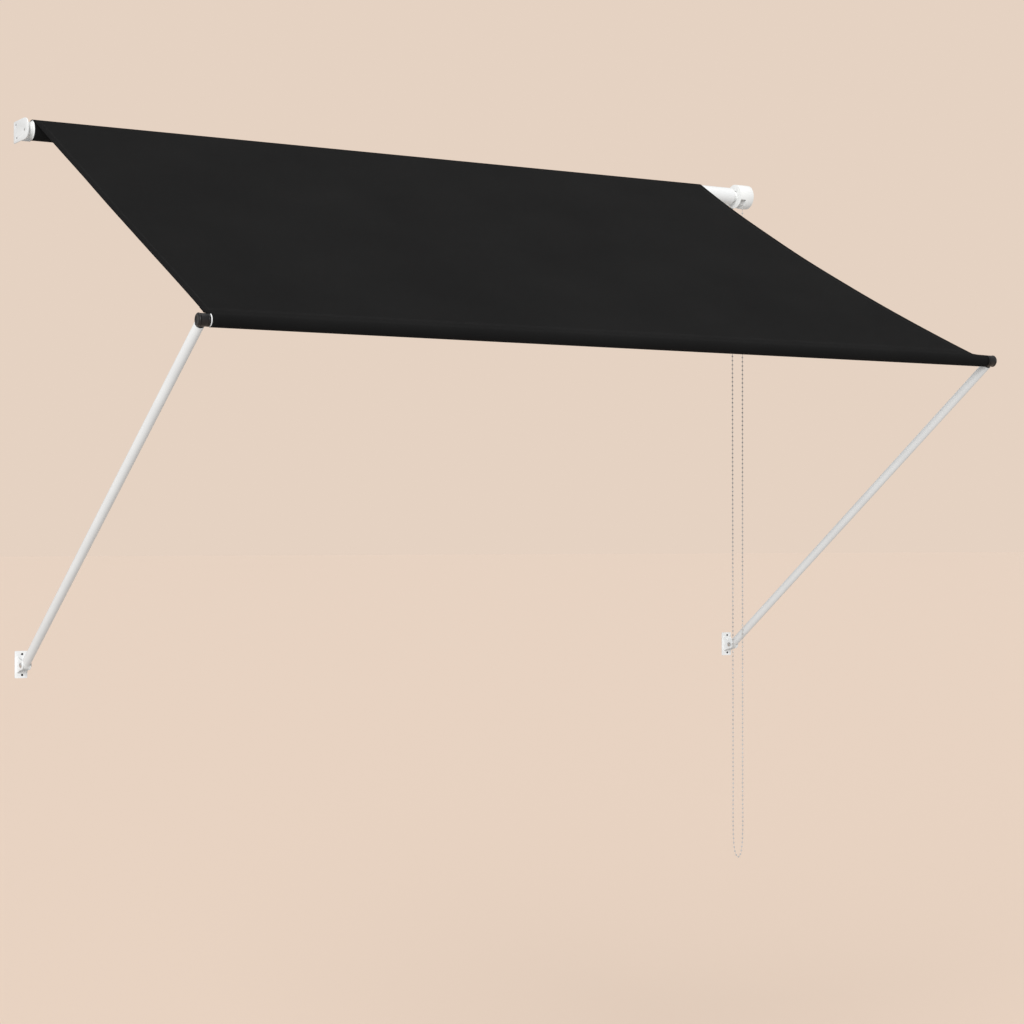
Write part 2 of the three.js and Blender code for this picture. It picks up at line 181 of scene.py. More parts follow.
def build_weave():
    """Plain weave on a cloth's own map in metres: the threads' Height, and 1 where Warp is on top."""
    group, inlet, outlet = node_group(
        "weave", [("Vector", VECTOR, None), ("Thread", FLOAT, 0.0007)],
        [("Height", FLOAT), ("Warp", FLOAT)])
    split = group.nodes.new("ShaderNodeSeparateXYZ")
    group.links.new(inlet.outputs["Vector"], split.inputs[0])
    across = math_node(group, "DIVIDE", split.outputs["X"], inlet.outputs["Thread"])
    down = math_node(group, "DIVIDE", split.outputs["Y"], inlet.outputs["Thread"])
    crown_across = math_node(group, "ABSOLUTE", math_node(group, "SINE", math_node(
        group, "MULTIPLY", across, pi)))
    crown_down = math_node(group, "ABSOLUTE", math_node(group, "SINE", math_node(
        group, "MULTIPLY", down, pi)))
    cell = math_node(group, "ADD", math_node(group, "FLOOR", across),
                     math_node(group, "FLOOR", down))
    warp = math_node(group, "PINGPONG", cell, 1.0)
    over = math_node(group, "MULTIPLY", crown_across, math_node(
        group, "MULTIPLY_ADD", crown_down, 0.5, 0.5))
    under = math_node(group, "MULTIPLY", crown_down, math_node(
        group, "MULTIPLY_ADD", crown_across, 0.5, 0.5))
    height = math_node(group, "ADD", math_node(group, "MULTIPLY", over, warp), math_node(
        group, "MULTIPLY", under, math_node(group, "SUBTRACT", 1.0, warp)))
    group.links.new(height, outlet.inputs["Height"])
    group.links.new(warp, outlet.inputs["Warp"])
    return group


MOTTLE = build_mottle()
SKIN = build_skin()
WEAVE = build_weave()


# ---- materials ----
def place_group(tree, group, vector, **values):
    node = tree.nodes.new("ShaderNodeGroup")
    node.node_tree = group
    tree.links.new(vector, node.inputs["Vector"])
    for label, value in values.items():
        node.inputs[label].default_value = value
    return node


def new_material(name):
    material = bpy.data.materials.new(name)
    material.use_nodes = True
    tree = material.node_tree
    return material, tree, tree.nodes["Principled BSDF"]


def shaded(tree, low, high, factor):
    """A colour between low and high."""
    mix = tree.nodes.new("ShaderNodeMix")
    mix.data_type = "RGBA"
    mix.inputs["A"].default_value = (*low, 1)
    mix.inputs["B"].default_value = (*high, 1)
    tree.links.new(factor, mix.inputs["Factor"])
    return mix.outputs["Result"]


def coated(name, low, high, rough, pebble, depth, patch=9.0, coat=0.0, specular=0.5):
    """A paint or moulded skin: slow shade and gloss changes, and a pebbled relief."""
    material, tree, shader = new_material(name)
    here = tree.nodes.new("ShaderNodeTexCoord").outputs["Object"]
    tone = place_group(tree, MOTTLE, here, Scale=patch, Low=0.0, High=1.0)
    gloss = place_group(tree, MOTTLE, here, Scale=patch * 6, Low=rough[0], High=rough[1])
    skin = place_group(tree, SKIN, here, Scale=pebble, Depth=depth)
    tree.links.new(shaded(tree, low, high, tone.outputs["Value"]), shader.inputs["Base Color"])
    tree.links.new(gloss.outputs["Value"], shader.inputs["Roughness"])
    tree.links.new(skin.outputs["Normal"], shader.inputs["Normal"])
    shader.inputs["Coat Weight"].default_value = coat
    shader.inputs["Specular IOR Level"].default_value = specular
    return material


THREAD_WIDTH = 0.0007         # canvas threads, in metres
DYE_LOW = (0.0075, 0.0075, 0.0077)
DYE_HIGH = (0.0120, 0.0120, 0.0121)


def canvas_material(name):
    """Dyed acrylic canvas: plain weave, thick and thin threads, faint clouding of the dye."""
    material, tree, shader = new_material(name)
    cloth_map = tree.nodes.new("ShaderNodeTexCoord").outputs["UV"]
    weave = place_group(tree, WEAVE, cloth_map, Thread=THREAD_WIDTH)
    stretch = tree.nodes.new("ShaderNodeMapping")
    stretch.inputs["Scale"].default_value = (1400, 25, 1)
    tree.links.new(cloth_map, stretch.inputs["Vector"])
    slub = tree.nodes.new("ShaderNodeTexNoise")
    slub.inputs["Scale"].default_value = 1.0
    tree.links.new(stretch.outputs["Vector"], slub.inputs["Vector"])
    cloud = place_group(tree, MOTTLE, cloth_map, Scale=3.0, Low=0.0, High=0.5)
    thread_tone = math_node(tree, "MULTIPLY_ADD", slub.outputs["Fac"], 0.35, cloud.outputs["Value"])
    tone = math_node(tree, "MULTIPLY_ADD", weave.outputs["Warp"], 0.15, thread_tone)
    tree.links.new(shaded(tree, DYE_LOW, DYE_HIGH, tone), shader.inputs["Base Color"])
    relief = math_node(tree, "MULTIPLY_ADD", slub.outputs["Fac"], 0.4, weave.outputs["Height"])
    bump = tree.nodes.new("ShaderNodeBump")
    bump.inputs["Distance"].default_value = 0.00022
    bump.inputs["Strength"].default_value = 0.8
    tree.links.new(relief, bump.inputs["Height"])
    tree.links.new(bump.outputs["Normal"], shader.inputs["Normal"])
    shader.inputs["Roughness"].default_value = 0.88
    shader.inputs["Specular IOR Level"].default_value = 0.04
    shader.inputs["Sheen Weight"].default_value = 0.004
    shader.inputs["Sheen Roughness"].default_value = 0.5
    return material


def plated_material(name):
    """Zinc plate: spangled, slightly blue, with patchy gloss."""
    material, tree, shader = new_material(name)
    here = tree.nodes.new("ShaderNodeTexCoord").outputs["Object"]
    spangle = tree.nodes.new("ShaderNodeTexVoronoi")
    spangle.inputs["Scale"].default_value = 600
    tree.links.new(here, spangle.inputs["Vector"])
    tone = shaded(tree, (0.46, 0.47, 0.49), (0.66, 0.66, 0.65), spangle.outputs["Color"])
    tree.links.new(tone, shader.inputs["Base Color"])
    gloss = place_group(tree, MOTTLE, here, Scale=300.0, Low=0.26, High=0.45)
    tree.links.new(gloss.outputs["Value"], shader.inputs["Roughness"])
    shader.inputs["Metallic"].default_value = 1.0
    return material


PAINT = coated("white_powder_coat", low=(0.83, 0.84, 0.845), high=(0.88, 0.89, 0.89),
               rough=(0.34, 0.44), pebble=1100.0, depth=0.000012, coat=0.15)
MOULDED = coated("white_moulding", low=(0.80, 0.81, 0.80), high=(0.86, 0.865, 0.86),
                 rough=(0.42, 0.55), pebble=1600.0, depth=0.00001)
BLACK = coated("black_moulding", low=(0.008, 0.008, 0.009), high=(0.014, 0.014, 0.015),
               rough=(0.30, 0.44), pebble=1400.0, depth=0.00003, specular=0.3)
BEAD = coated("bead_gloss", low=(0.44, 0.43, 0.42), high=(0.56, 0.55, 0.54),
              rough=(0.22, 0.34), pebble=900.0, depth=0.00001, coat=0.3)
THREAD = coated("sewing_thread", low=(0.022, 0.022, 0.023), high=(0.040, 0.040, 0.041),
                rough=(0.6, 0.8), pebble=5000.0, depth=0.00008, patch=300.0)
CANVAS_CLOTH = canvas_material("awning_canvas")
ZINC = plated_material("zinc_plate")


# ---- making pieces ----
MERGE = 1e-6                  # corners closer than this, in metres, are one


def piece(name, bm, material, body, stands_for=(), sharp=38, turn_out=True):
    """Finishes a bmesh as a piece, riding on a body where one is named."""
    bmesh.ops.remove_doubles(bm, verts=bm.verts, dist=MERGE)
    if turn_out:
        bmesh.ops.recalc_face_normals(bm, faces=bm.faces)
    for face in bm.faces:
        face.smooth = True
    for edge in bm.edges:
        if len(edge.link_faces) == 2 and edge.calc_face_angle(0) > radians(sharp):
            edge.smooth = False
    mesh = bpy.data.meshes.new(name)
    bm.to_mesh(mesh)
    bm.free()
    mesh.materials.append(material)
    made = bpy.data.objects.new(name, mesh)
    bpy.context.scene.collection.objects.link(made)
    if body:
        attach(made, body)
    if stands_for:
        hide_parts(*stands_for)
    return made


def softened(outline, radius, steps=3):
    """Rounds the corners of a closed (x, radius) outline; points on the axis stay."""
    rounded = []
    for i, point in enumerate(outline):
        here = Vector(point)
        if here.y == 0:
            rounded.append(tuple(here))
            continue
        back = Vector(outline[i - 1]) - here
        ahead = Vector(outline[(i + 1) % len(outline)]) - here
        reach = min(radius, back.length / 2.5, ahead.length / 2.5)
        start = here + back.normalized() * reach
        end = here + ahead.normalized() * reach
        for k in range(steps + 1):
            t = k / steps
            rounded.append(tuple(start * (1 - t) ** 2 + here * 2 * t * (1 - t) + end * t * t))
    return rounded


def turned(bm, outline, centre, inward=1, steps=64):
    """Spins an (x, radius) outline round the X axis through centre. Returns the new vertices."""
    before = set(bm.verts)
    ring = [bm.verts.new(centre + Vector((inward * x, 0, r))) for x, r in outline]
    pairs = list(zip(ring, ring[1:]))
    if outline[0][1] > 0:
        pairs.append((ring[-1], ring[0]))
    edges = [bm.edges.new(pair) for pair in pairs]
    bmesh.ops.spin(bm, geom=ring + edges, cent=centre, axis=(1, 0, 0), angle=2 * pi, steps=steps,
                   use_merge=True)
    return [vert for vert in bm.verts if vert not in before]


def pipe(x0, x1, inner, outer):
    """The (x, radius) outline of a tube's wall."""
    return [(x0, inner), (x0, outer), (x1, outer), (x1, inner)]


def softened_copy(node, width, segments=2, sharp=28):
    """A merged copy of a frame node, with its hard edges rounded."""
    bm = bmesh.new()
    bm.from_mesh(frame["nodes"][node].data)
    bmesh.ops.remove_doubles(bm, verts=bm.verts, dist=MERGE)
    bmesh.ops.dissolve_limit(bm, angle_limit=radians(1), verts=bm.verts, edges=bm.edges)
    hard = [edge for edge in bm.edges
            if len(edge.link_faces) == 2 and edge.calc_face_angle(0) > radians(sharp)]
    bmesh.ops.bevel(bm, geom=hard, offset=width, offset_type="OFFSET", segments=segments,
                    profile=0.5, affect="EDGES", clamp_overlap=True, material=-1)
    return bm


# ---- bead chain: the cord first, then its balls ----
CHAIN_TURN_R = 28 * MM
BALL_R = 3 * MM
BALL_PITCH = 14 * MM
CORE = 1.2 * MM
chain_low, chain_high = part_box("bead_chain")
CHAIN_X = (chain_low.x + chain_high.x) / 2
# The free loop as (side to side in wheel radii, height in mm), as in the frame.
CHAIN_ROUTE = [
    (-1, -16), (-1, -120), (-0.99, -500), (-0.97, -1000), (-0.95, -1500), (-0.93, -1950),
    (-0.9, -2110), (-0.76, -2146), (-0.45, -2171), (0, -2180), (0.45, -2171), (0.76, -2146),
    (0.9, -2110), (0.93, -1950), (0.95, -1500), (0.97, -1000), (0.99, -500), (1, -120), (1, -16),
]


def chain_curve(depth):
    """The free loop as a mesh: a tube of radius depth, or its bare line where depth is 0."""
    data = bpy.data.curves.new("chain_route", "CURVE")
    data.dimensions = "3D"
    data.bevel_depth = depth
    data.bevel_resolution = 2
    data.resolution_u = 12
    spline = data.splines.new("BEZIER")
    spline.bezier_points.add(len(CHAIN_ROUTE) - 1)
    for point, (share, height) in zip(spline.bezier_points, CHAIN_ROUTE):
        point.co = (CHAIN_X, ROLLER.y + share * CHAIN_TURN_R, height * MM)
        point.handle_left_type = point.handle_right_type = "AUTO"
    route = bpy.data.objects.new("chain_route", data)
    bpy.context.scene.collection.objects.link(route)
    shape = route.evaluated_get(bpy.context.evaluated_depsgraph_get())
    mesh = bpy.data.meshes.new_from_object(shape)
    bpy.data.objects.remove(route)
    return mesh


def spaced(line, pitch):
    """Points every pitch along a line."""
    points, travelled = [line[0].copy()], 0.0
    for a, b in zip(line, line[1:]):
        step = (b - a).length
        while step and travelled + step >= pitch * len(points):
            points.append(a.lerp(b, (pitch * len(points) - travelled) / step))
        travelled += step
    return points


def balls(name, points, stands_for):
    bm = bmesh.new()
    for point in points:
        bmesh.ops.create_uvsphere(bm, u_segments=10, v_segments=7, radius=BALL_R,
                                  matrix=Matrix.Translation(point))
    return piece(name, bm, BEAD, "wall_side", stands_for)


chain_line = [vert.co.copy() for vert in chain_curve(0).vertices]
core = bmesh.new()
core.from_mesh(chain_curve(CORE / 2))
chain = piece("chain_cord", core, BEAD, "wall_side")
free_balls = balls("chain_balls", spaced(chain_line, BALL_PITCH), ["bead_chain"])
over_wheel = [Vector((CHAIN_X, ROLLER.y + CHAIN_TURN_R * cos(a), CHAIN_TURN_R * sin(a)))
              for a in (pi * i / 48 for i in range(49))]
balls("chain_balls_on_wheel", spaced(over_wheel, BALL_PITCH), ["chain_on_wheel"])


# ---- canvas ----
CANVAS_LEFT = -3 * MM         # side edges on the roller
CANVAS_RIGHT = 2256 * MM
CORNER_LEFT = 5 * MM          # side edges at the front bar
CORNER_RIGHT = 2364 * MM
POCKET_LEFT = 20 * MM         # pocket ends, in from each arm plane
POCKET_RIGHT = 17 * MM
NECK_LEFT = 9 * MM            # how far each side edge is pulled in half way down
NECK_RIGHT = 47 * MM
SAG = 10 * MM                 # canvas below its chord, half way down
HEM = 34 * MM                 # the pocket's sewn flap under the sheet
FLAP_START = 6 * MM           # the flap leaves the pocket this far back
POCKET_R = BAR_R + GAP + FRAME_CANVAS / 2
LEAVE_R = WRAP_R + GAP + FRAME_CANVAS / 2
SEAM_SHARE = 0.997            # share of the run where the pocket begins
WRAP_START = 2.6              # radians of canvas on the roller before the run
POCKET_TURN = 5.35            # radians of canvas round the front bar
DRAPE_END = 0.965             # share of the run where the canvas would start to move with the bar; nothing here moves it


def flat_view(point):
    """A place as (out from the wall, height)."""
    return Vector((-point.y, point.z))


def run_frame():
    """The straight run's two ends and its upward direction, as (out, height)."""
    roll, bar = flat_view(ROLLER), flat_view(BAR)
    reach = bar - roll
    tilt = asin((LEAVE_R - POCKET_R) / reach.length)
    up = Vector((-reach.y, reach.x)).normalized()
    up.rotate(Matrix.Rotation(-tilt, 2))
    return roll + up * LEAVE_R, bar + up * POCKET_R, up


RUN_START, RUN_END, RUN_UP = run_frame()
RUN_LENGTH = (RUN_END - RUN_START).length


def canvas_line():
    """The canvas's middle line from the roller to the hem's end, as (out, height, share of the run)."""
    top = RUN_UP.angle_signed(Vector((1, 0)))
    line = []

    def arc(centre, radius, start, end, steps, share):
        for i in range(steps + 1):
            a = start + (end - start) * i / steps
            line.append((centre.x + radius * cos(a), centre.y + radius * sin(a), share))

    arc(flat_view(ROLLER), LEAVE_R, top + WRAP_START, top + 0.03, 30, 0)
    for i in range(61):
        t = SEAM_SHARE * i / 60
        place = RUN_START.lerp(RUN_END, t)
        line.append((place.x, place.y - 4 * SAG * t * (1 - t), t))
    arc(flat_view(BAR), POCKET_R, top, top - POCKET_TURN, 36, 1)
    back = (RUN_START - RUN_END).normalized()
    flap = RUN_END - RUN_UP * (CANVAS + 3.5 * GAP)
    for i in range(1, 7):
        t = i / 6
        inset = FLAP_START + HEM * t
        place = flap + back * inset
        line.append((place.x, place.y - 4 * SAG * t * HEM / RUN_LENGTH, 1 - inset / RUN_LENGTH))
    return line


def side_edges(share):
    """Where the canvas's two side edges are along the wall."""
    if share == 1:
        return POCKET_LEFT, SPAN - POCKET_RIGHT
    pull = 4 * share * (1 - share)
    left = CANVAS_LEFT + (CORNER_LEFT - CANVAS_LEFT) * share + NECK_LEFT * pull
    right = CANVAS_RIGHT + (CORNER_RIGHT - CANVAS_RIGHT) * share - NECK_RIGHT * pull
    return left, right


FLUTTER_WIDE = 0.25           # how far in from a side edge the short waves reach


def ripple(x, share):
    """Slack in the cloth: long shallow waves, and short ones along the side edges."""
    free = max(0.0, 4 * share * (1 - share))
    long_wave = noise.noise(Vector((x * 1.1, share * 1.6, 0.0))) * 3.0 * MM
    left, right = side_edges(min(share, 0.98))
    edge = min(x - left, right - x)
    near_edge = max(0.0, 1 - edge / FLUTTER_WIDE)
    flutter = noise.noise(Vector((share * 5.0, edge * 3.0, 4.0))) * 1.2 * MM * near_edge
    return free * (long_wave + flutter)


def run_point(x, share, lift=0.0):
    """A point on the run of the canvas, lifted off its middle by lift."""
    place = RUN_START.lerp(RUN_END, share)
    place.y -= 4 * SAG * share * (1 - share) - ripple(x, share)
    place += RUN_UP * lift
    return Vector((x, -place.x, place.y))


def draped(made):
    """Bakes a piece of the canvas's placement into its mesh."""
    run_point(SPAN / 2, 0)
    run_point(SPAN / 2, DRAPE_END)
    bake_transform(made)


def lay_map(bm, places):
    """Gives each corner its place on the flat cloth, in metres."""
    cloth_map = bm.loops.layers.uv.verify()
    for face in bm.faces:
        for corner in face.loops:
            corner[cloth_map].uv = places[corner.vert]


def thicken(made, thickness):
    """Thickens a sheet evenly to both sides."""
    solid = made.modifiers.new("thickness", "SOLIDIFY")
    solid.thickness = thickness
    solid.offset = 0
    solid.use_even_offset = True


def canopy_sheet():
    """The canvas from the roller, down the run, round the front bar and back along its flap."""
    line = canvas_line()
    travelled = [0.0]
    for a, b in zip(line, line[1:]):
        travelled.append(travelled[-1] + (Vector(b[:2]) - Vector(a[:2])).length)
    across = 140
    bm = bmesh.new()
    bmesh.ops.create_grid(bm, x_segments=across, y_segments=len(line) - 1, size=1.0, calc_uvs=True)
    places = {}
    for vert in bm.verts:
        row = round((vert.co.y + 1) / 2 * (len(line) - 1))
        out, height, share = line[row]
        left, right = side_edges(share)
        x = left + (right - left) * (vert.co.x + 1) / 2
        places[vert] = (x, travelled[row])
        rise = ripple(x, share) if 0 < share < 1 else 0.0
        vert.co = (x, -out, height + rise)
    lay_map(bm, places)
    made = piece("canvas_sheet", bm, CANVAS_CLOTH, None, ["canopy"],
                 sharp=80, turn_out=False)
    thicken(made, CANVAS)
    draped(made)
    return made


HEM_WIDE = 22 * MM
HEM_DROP = CANVAS + 0.12 * MM   # side hems below the sheet
HEM_MAP = 1.34                  # length of a side hem's cloth map


def side_hem(side):
    """The turned-under strip along one side edge, under the sheet."""
    bm = bmesh.new()
    rows = 64
    bmesh.ops.create_grid(bm, x_segments=4, y_segments=rows, size=1.0, calc_uvs=True)
    places = {}
    for vert in bm.verts:
        share = 0.004 + (SEAM_SHARE - 0.012) * (vert.co.y + 1) / 2
        left, right = side_edges(share)
        inset = 0.4 * MM + HEM_WIDE * (vert.co.x + 1) / 2
        x = left + inset if side == "left" else right - inset
        places[vert] = (x, share * HEM_MAP)
        vert.co = run_point(x, share, -HEM_DROP)
    lay_map(bm, places)
    made = piece(f"{side}_side_hem", bm, CANVAS_CLOTH, None, sharp=80)
    thicken(made, CANVAS * 0.9)
    draped(made)
    return made


STITCH = 2.8 * MM
STITCH_PITCH = 4.2 * MM
THREAD_R = 0.35 * MM
STITCH_INSET = 3 * MM         # stitches in from the side hem's inner edge
TOP_LIFT = CANVAS / 2         # stitches over the sheet
UNDER_FLAP = -CANVAS * 1.5 - 0.5 * MM
UNDER_HEM = -CANVAS * 1.45 - 0.12 * MM


def stitches(name, lines):
    """Rows of lock stitches along lines of points."""
    bm = bmesh.new()
    for line in lines:
        points = spaced(line, STITCH_PITCH)
        for a, b in zip(points, points[1:]):
            turn = (b - a).to_track_quat("X", "Z").to_matrix().to_4x4()
            size = Matrix.Diagonal((STITCH / 2, THREAD_R, THREAD_R * 0.7, 1))
            bmesh.ops.create_icosphere(bm, subdivisions=1, radius=1.0,
                                       matrix=Matrix.Translation(a) @ turn @ size)
    made = piece(name, bm, THREAD, None)
    draped(made)
    return made


def side_stitch_line(side, lift):
    """Along one side hem."""
    points = []
    for i in range(121):
        share = 0.01 + (SEAM_SHARE - 0.02) * i / 120
        left, right = side_edges(share)
        inset = HEM_WIDE - STITCH_INSET
        x = left + inset if side == "left" else right - inset
        points.append(run_point(x, share, lift))
    return points


def seam_line(back, lift):
    """Across the canvas, back from the pocket's mouth."""
    share = 1 - back / RUN_LENGTH
    left, right = side_edges(min(share, SEAM_SHARE - 0.001))
    return [run_point(left + 4 * MM + (right - left - 8 * MM) * i / 80, share, lift)
            for i in range(81)]


sheet = canopy_sheet()
hems = [side_hem(side) for side in ENDS]
seams = [
    stitches("pocket_stitching", [seam_line(back, lift) for back in (26 * MM, 34 * MM)
                                  for lift in (TOP_LIFT, UNDER_FLAP)]),
    stitches("side_stitching", [side_stitch_line(side, lift) for side in ENDS
                                for lift in (TOP_LIFT, UNDER_HEM)]),
]


# ---- roller ----
def wound_turns():
    """The last turns on the roller: each layer ends a little short of the one under it."""
    low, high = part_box("wound_canvas")
    bm = bmesh.new()
    layers = 3
    inner = TUBE_R + GAP
    thick = (WRAP_R - inner) / layers
    outline = []
    for k in range(layers):
        end = low.x + 0.7 * MM * k
        outline += [(end, inner + thick * k), (end, inner + thick * (k + 0.92))]
    for k in reversed(range(layers)):
        end = high.x - 0.9 * MM * k
        outline += [(end, inner + thick * (k + 0.92)), (end, inner + thick * k)]
    turned(bm, outline, ROLLER, steps=96)
    cloth_map = bm.loops.layers.uv.verify()
    for face in bm.faces:
        middle = face.calc_center_median() - ROLLER
        around = Vector((middle.y, middle.z))
        for corner in face.loops:
            co = corner.vert.co - ROLLER
            spoke = Vector((co.y, co.z))
            turn = around.angle_signed(spoke, 0.0)
            base = Vector((0, 1)).angle_signed(around, 0.0)
            corner[cloth_map].uv = (co.x, (base + turn) * WRAP_R)
    return piece("canvas_turns", bm, CANVAS_CLOTH, "roller", ["wound_canvas"])


COLLAR_R = 23 * MM            # plug collars that show beside the canvas
PLUG_R = 25.2 * MM            # and their bodies inside the roller tube
STUB_BORE = 10.3 * MM         # the drive parts turn round the housing's stub


def roller_tube():
    low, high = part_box("roller_tube")
    bm = bmesh.new()
    wall = pipe(low.x, high.x, TUBE_R - TUBE_WALL, TUBE_R)
    turned(bm, softened(wall, 0.4 * MM), ROLLER, steps=96)
    piece("roller_shell", bm, PAINT, "roller", ["roller_tube"])


def idle_plug():
    low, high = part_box("roller_idle_plug")
    bore, lip = 5.3 * MM, 21.2 * MM
    face = low.x
    inside = CANVAS_LEFT + GAP
    bm = bmesh.new()
    outline = [
        (face + 1.2 * MM, bore), (face + 1.2 * MM, 9 * MM), (face, 10 * MM), (face, lip - 1.5 * MM),
        (face + 1.6 * MM, lip), (face + 5.2 * MM, lip), (face + 5.6 * MM, lip - 2 * MM),
        (face + 7.4 * MM, lip - 2 * MM), (face + 7.8 * MM, COLLAR_R), (inside - 1.2 * MM, COLLAR_R),
        (inside - 1.2 * MM, PLUG_R - 0.6 * MM), (inside, PLUG_R - 0.6 * MM), (inside, PLUG_R),
        (high.x, PLUG_R), (high.x, bore),
    ]
    turned(bm, softened(outline, 0.5 * MM), ROLLER, steps=72)
    piece("idle_plug", bm, MOULDED, "roller", ["roller_idle_plug"])


def drive_plug():
    low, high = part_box("roller_drive_plug")
    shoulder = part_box("roller_tube")[1].x + GAP
    bm = bmesh.new()
    outline = [
        (low.x, STUB_BORE), (low.x, PLUG_R - 1 * MM), (low.x + 2 * MM, PLUG_R), (shoulder, PLUG_R),
        (shoulder, COLLAR_R), (high.x, COLLAR_R), (high.x, STUB_BORE),
    ]
    turned(bm, softened(outline, 0.5 * MM), ROLLER, steps=72)
    piece("drive_plug", bm, MOULDED, "roller", ["roller_drive_plug"])


def idle_journal():
    low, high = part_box("idle_pin")
    bm = bmesh.new()
    outline = [
        (low.x, 0), (low.x, 3.2 * MM), (low.x + 0.7 * MM, 4 * MM), (low.x + 3.3 * MM, 4 * MM),
        (low.x + 3.3 * MM, 9 * MM), (low.x + 5.3 * MM, 9 * MM), (low.x + 5.3 * MM, 5 * MM),
        (high.x - 1.5 * MM, 5 * MM), (high.x, 3.8 * MM), (high.x, 0),
    ]
    turned(bm, softened(outline, 0.3 * MM), ROLLER, steps=48)
    piece("idle_journal", bm, ZINC, "wall_side", ["idle_pin"])


def chain_wheel():
    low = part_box("chain_wheel")[0]
    groove = CHAIN_TURN_R - BALL_R - GAP
    rim, hub = CHAIN_TURN_R + 3 * MM, 17 * MM
    outline = [
        (low.x, STUB_BORE), (low.x, hub), (CHAIN_X - 8 * MM, hub), (CHAIN_X - 8 * MM, rim),
        (CHAIN_X - 6 * MM, rim), (CHAIN_X - 3.4 * MM, groove), (CHAIN_X + 3.4 * MM, groove),
        (CHAIN_X + 6 * MM, rim), (CHAIN_X + 8 * MM, rim), (CHAIN_X + 8 * MM, STUB_BORE),
    ]
    bm = bmesh.new()
    turned(bm, softened(outline, 0.5 * MM), ROLLER, steps=72)
    piece("ball_wheel", bm, MOULDED, "roller", ["chain_wheel"])


wound_turns()
roller_tube()
idle_plug()
drive_plug()
idle_journal()
chain_wheel()


# ---- front bar, its end plugs and knobs ----
def front_bar():
    low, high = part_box("front_bar")
    centre = Vector((0, BAR.y, BAR.z))
    bm = bmesh.new()
    wall = pipe(low.x, high.x, BAR_R - TUBE_WALL, BAR_R)
    turned(bm, softened(wall, 0.4 * MM), centre, steps=72)
    piece("bar_tube", bm, PAINT, "bar", ["front_bar"])


def bar_end(side):
    """One end's plug, stepped to fill the tube, and the knob screwed into it."""
    plane, inward = ENDS[side]
    centre = Vector((plane, BAR.y, BAR.z))
    bore, spigot, inside = 4.3 * MM, 7 * MM, 14.2 * MM
    flange, rim = 11.8 * MM, 16 * MM
    tube_end = 17.2 * MM
    outline = [
        (-5 * MM, bore), (-5 * MM, spigot), (flange, spigot), (flange, rim - 1.2 * MM),
        (flange + 1.2 * MM, rim), (tube_end, rim), (tube_end, inside), (56 * MM, inside),
        (58 * MM, inside - 1 * MM), (58 * MM, bore),
    ]
    bm = bmesh.new()
    turned(bm, softened(outline, 0.4 * MM), centre, inward)
    piece(f"{side}_end_plug", bm, BLACK, "bar", [f"{side}_bar_plug"])

    face, radius = -6.3 * MM, 16.5 * MM
    outline = [
        (face - 5.2 * MM, 0), (face - 5.2 * MM, 7.2 * MM), (face - 6.5 * MM, 8.4 * MM),
        (face - 6.5 * MM, radius - 3.2 * MM), (face - 5 * MM, radius - 1 * MM),
        (face - 3.4 * MM, radius), (face - 1.2 * MM, radius), (face, radius - 1.4 * MM),
        (face, 4 * MM), (28 * MM, 4 * MM), (28 * MM, 0),
    ]
    bm = bmesh.new()
    turned(bm, softened(outline, 0.6 * MM), centre, inward)
    piece(f"{side}_clamp_knob", bm, BLACK, "bar", [f"{side}_knob"])


front_bar()
for side in ENDS:
    bar_end(side)


# ---- arms ----
def stood_up(bm, verts, base):
    """Turns what was made along X to lie along the arm, from base."""
    turn = Vector((1, 0, 0)).rotation_difference(ALONG_ARM).to_matrix().to_4x4()
    bmesh.ops.transform(bm, verts=verts, matrix=Matrix.Translation(base) @ turn)


def arm(side):
    base = Vector((ENDS[side][0], PIVOT.y, PIVOT.z))
    bm = bmesh.new()
    wall = pipe(FOOT_SHOULDER, ARM_LENGTH - EYELET_SHOULDER, ARM_BORE, ARM_R)
    tube = turned(bm, softened(wall, 0.5 * MM), Vector((0, 0, 0)))
    stood_up(bm, tube, base)
    body = f"{side}_arm"
    piece(f"{side}_arm_shell", bm, PAINT, body, [f"{side}_arm_tube"])
    piece(f"{side}_foot", softened_copy(f"{side}_arm_foot", 0.5 * MM), MOULDED, body,
          [f"{side}_arm_foot"])
    piece(f"{side}_eyelet", softened_copy(f"{side}_arm_eyelet", 0.6 * MM), BLACK, body,
          [f"{side}_arm_eyelet"])


for side in ENDS:
    arm(side)


# ---- brackets and fasteners ----
def brackets_and_pin(side):
    plane, inward = ENDS[side]
    piece(f"{side}_roller_bracket", softened_copy(f"upper_{side}_bracket", 0.6 * MM, 3), PAINT,
          "wall_side", [f"upper_{side}_bracket"])
    piece(f"{side}_arm_bracket", softened_copy(f"lower_{side}_bracket", 0.5 * MM, 3), PAINT,
          "wall_side", [f"lower_{side}_bracket"])
    centre = Vector((plane, PIVOT.y, PIVOT.z))
    head, radius = 12.8 * MM, 4 * MM    # the pin's head starts, and its shank's radius
    outline = [
        (-head - 3.5 * MM, 0), (-head - 3.4 * MM, 2.5 * MM), (-head - 2.9 * MM, 5 * MM),
        (-head - 1.6 * MM, 6.8 * MM), (-head, 7 * MM), (-head, radius),
        (head + 4.2 * MM, radius), (head + 5 * MM, radius - 0.8 * MM), (head + 5 * MM, 0),
    ]
    bm = bmesh.new()
    turned(bm, softened(outline, 0.4 * MM), centre, inward, steps=48)
    piece(f"{side}_pivot_pin", bm, ZINC, "wall_side", [f"{side}_arm_pin"])
    piece(f"{side}_pivot_nut", softened_copy(f"{side}_arm_nut", 0.4 * MM), ZINC, "wall_side",
          [f"{side}_arm_nut"])


for side in ENDS:
    brackets_and_pin(side)

HOLE_R = 3.2 * MM
# the dark discs below paint the shade deep inside the bracket holes
SHADE_DISC_THICK = 0.6 * MM


